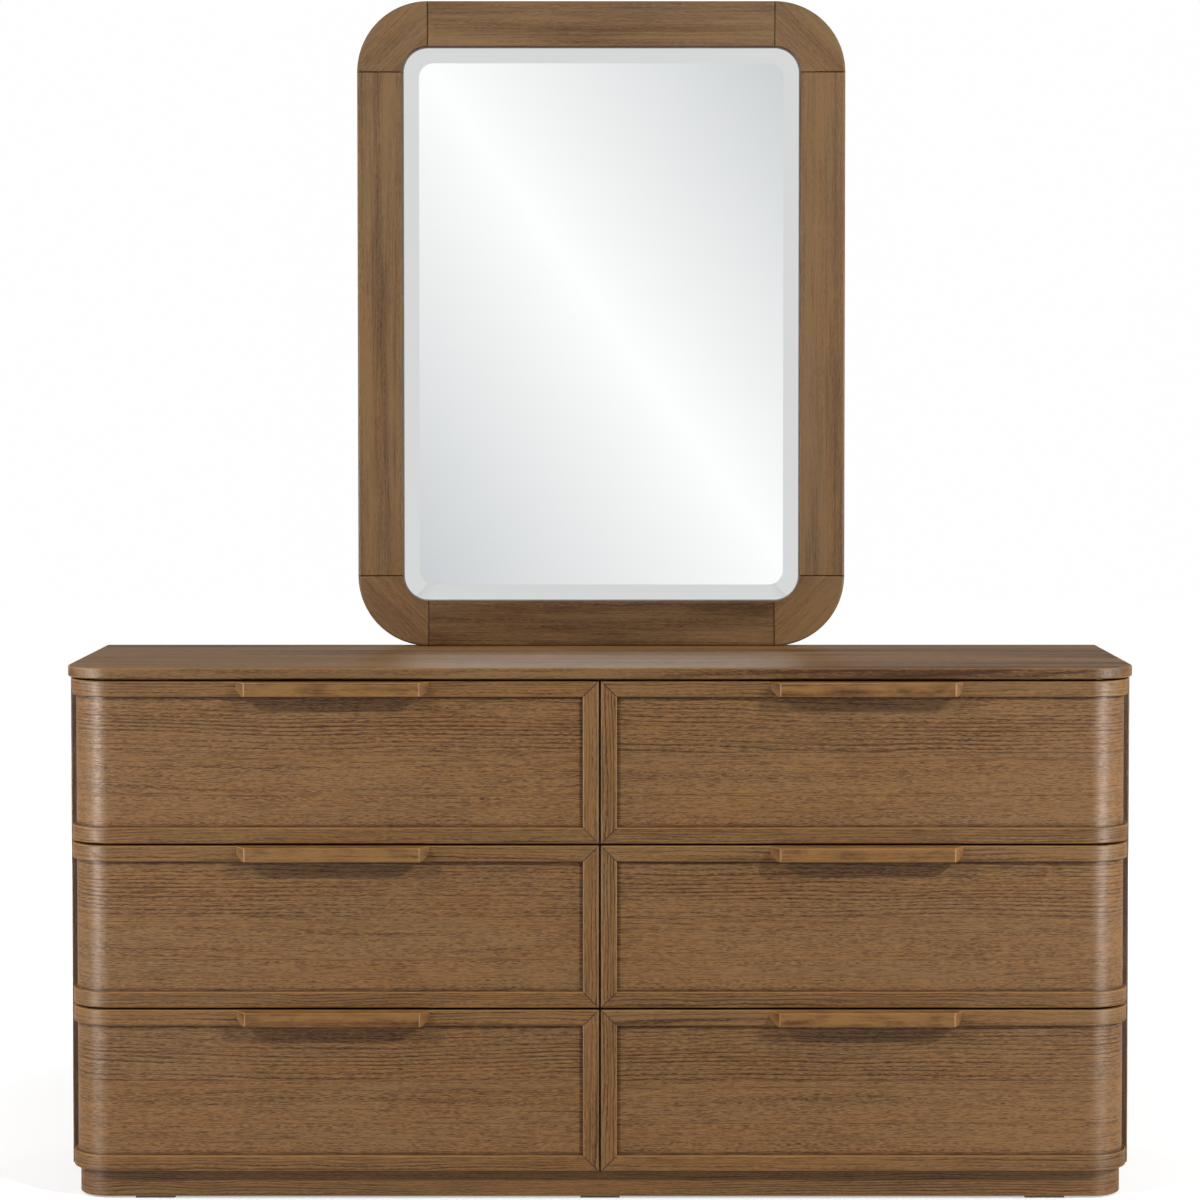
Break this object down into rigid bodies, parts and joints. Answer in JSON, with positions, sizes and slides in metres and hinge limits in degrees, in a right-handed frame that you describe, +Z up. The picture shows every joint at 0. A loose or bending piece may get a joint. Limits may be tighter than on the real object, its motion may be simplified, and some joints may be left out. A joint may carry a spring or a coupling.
{
  "type": "dresser with mirror",
  "caption": "Wood dresser with rounded front corners, slide-out drawers with raised borders and bar handles, and a framed bevelled mirror standing on its top.",
  "frame": {"origin": "on the floor, under the middle of the whole object's box", "axes": "+Z up, +X to the right seen from the front, -Y towards the front where the drawers open"},
  "size_m": [1.626, 0.498, 1.863],
  "materials": {
    "oak": "satin, stained mid-brown",
    "inner_wood": "matt, stained",
    "drawer_wood": "clear satin lacquer",
    "back_plywood": "raw, sanded",
    "mirror": "silvered, bevelled",
    "slide_steel": "zinc plated",
    "screw_steel": "zinc plated",
    "nylon": "moulded"
  },
  "bodies": {
    "case": {"top_panel": "oak", "left_side_panel": "oak", "right_side_panel": "oak", "back_panel": "back_plywood", "bottom_panel": "inner_wood", "centre_partition": "inner_wood", "drawer_rails": "inner_wood", "back_rails": "inner_wood", "plinth_front": "oak", "plinth_sides": "oak", "plinth_back": "inner_wood", "plinth_centre_bearer": "inner_wood", "floor_pads": "nylon", "slide_battens": "inner_wood", "slide_cabinet_members": "slide_steel", "mirror_top_rail": "oak", "mirror_bottom_rail": "oak", "mirror_stiles": "oak", "mirror_corner_blocks": "oak", "mirror_glass": "mirror", "mirror_backing_board": "back_plywood", "mirror_retaining_beads": "inner_wood", "mirror_supports": "oak", "mirror_support_screws": "screw_steel"},
    "top_left_drawer": {"top_left_drawer_front": "oak", "top_left_drawer_border": "oak", "top_left_drawer_handle": "oak", "top_left_drawer_box": "drawer_wood", "top_left_drawer_slide_members": "slide_steel"},
    "top_left_intermediate_slides": {"top_left_intermediate_slide_members": "slide_steel"},
    "top_right_drawer": {"top_right_drawer_front": "oak", "top_right_drawer_border": "oak", "top_right_drawer_handle": "oak", "top_right_drawer_box": "drawer_wood", "top_right_drawer_slide_members": "slide_steel"},
    "top_right_intermediate_slides": {"top_right_intermediate_slide_members": "slide_steel"},
    "middle_left_drawer": {"middle_left_drawer_front": "oak", "middle_left_drawer_border": "oak", "middle_left_drawer_handle": "oak", "middle_left_drawer_box": "drawer_wood", "middle_left_drawer_slide_members": "slide_steel"},
    "middle_left_intermediate_slides": {"middle_left_intermediate_slide_members": "slide_steel"},
    "middle_right_drawer": {"middle_right_drawer_front": "oak", "middle_right_drawer_border": "oak", "middle_right_drawer_handle": "oak", "middle_right_drawer_box": "drawer_wood", "middle_right_drawer_slide_members": "slide_steel"},
    "middle_right_intermediate_slides": {"middle_right_intermediate_slide_members": "slide_steel"},
    "bottom_left_drawer": {"bottom_left_drawer_front": "oak", "bottom_left_drawer_border": "oak", "bottom_left_drawer_handle": "oak", "bottom_left_drawer_box": "drawer_wood", "bottom_left_drawer_slide_members": "slide_steel"},
    "bottom_left_intermediate_slides": {"bottom_left_intermediate_slide_members": "slide_steel"},
    "bottom_right_drawer": {"bottom_right_drawer_front": "oak", "bottom_right_drawer_border": "oak", "bottom_right_drawer_handle": "oak", "bottom_right_drawer_box": "drawer_wood", "bottom_right_drawer_slide_members": "slide_steel"},
    "bottom_right_intermediate_slides": {"bottom_right_intermediate_slide_members": "slide_steel"}
  },
  "joints": [
    {"name": "top_left_drawer_slide", "type": "slide", "parent": "case", "child": "top_left_drawer", "axis": [0, -1, 0], "range_m": [0, 0.33]},
    {"name": "top_left_intermediate_slide", "type": "slide", "parent": "case", "child": "top_left_intermediate_slides", "axis": [0, -1, 0], "range_m": [0, 0.165]},
    {"name": "top_right_drawer_slide", "type": "slide", "parent": "case", "child": "top_right_drawer", "axis": [0, -1, 0], "range_m": [0, 0.33]},
    {"name": "top_right_intermediate_slide", "type": "slide", "parent": "case", "child": "top_right_intermediate_slides", "axis": [0, -1, 0], "range_m": [0, 0.165]},
    {"name": "middle_left_drawer_slide", "type": "slide", "parent": "case", "child": "middle_left_drawer", "axis": [0, -1, 0], "range_m": [0, 0.33]},
    {"name": "middle_left_intermediate_slide", "type": "slide", "parent": "case", "child": "middle_left_intermediate_slides", "axis": [0, -1, 0], "range_m": [0, 0.165]},
    {"name": "middle_right_drawer_slide", "type": "slide", "parent": "case", "child": "middle_right_drawer", "axis": [0, -1, 0], "range_m": [0, 0.33]},
    {"name": "middle_right_intermediate_slide", "type": "slide", "parent": "case", "child": "middle_right_intermediate_slides", "axis": [0, -1, 0], "range_m": [0, 0.165]},
    {"name": "bottom_left_drawer_slide", "type": "slide", "parent": "case", "child": "bottom_left_drawer", "axis": [0, -1, 0], "range_m": [0, 0.33]},
    {"name": "bottom_left_intermediate_slide", "type": "slide", "parent": "case", "child": "bottom_left_intermediate_slides", "axis": [0, -1, 0], "range_m": [0, 0.165]},
    {"name": "bottom_right_drawer_slide", "type": "slide", "parent": "case", "child": "bottom_right_drawer", "axis": [0, -1, 0], "range_m": [0, 0.33]},
    {"name": "bottom_right_intermediate_slide", "type": "slide", "parent": "case", "child": "bottom_right_intermediate_slides", "axis": [0, -1, 0], "range_m": [0, 0.165]}
  ],
  "couplings": [
    {"joint": "top_left_intermediate_slide", "follows": "top_left_drawer_slide", "ratio": 0.5},
    {"joint": "top_right_intermediate_slide", "follows": "top_right_drawer_slide", "ratio": 0.5},
    {"joint": "middle_left_intermediate_slide", "follows": "middle_left_drawer_slide", "ratio": 0.5},
    {"joint": "middle_right_intermediate_slide", "follows": "middle_right_drawer_slide", "ratio": 0.5},
    {"joint": "bottom_left_intermediate_slide", "follows": "bottom_left_drawer_slide", "ratio": 0.5},
    {"joint": "bottom_right_intermediate_slide", "follows": "bottom_right_drawer_slide", "ratio": 0.5}
  ]
}
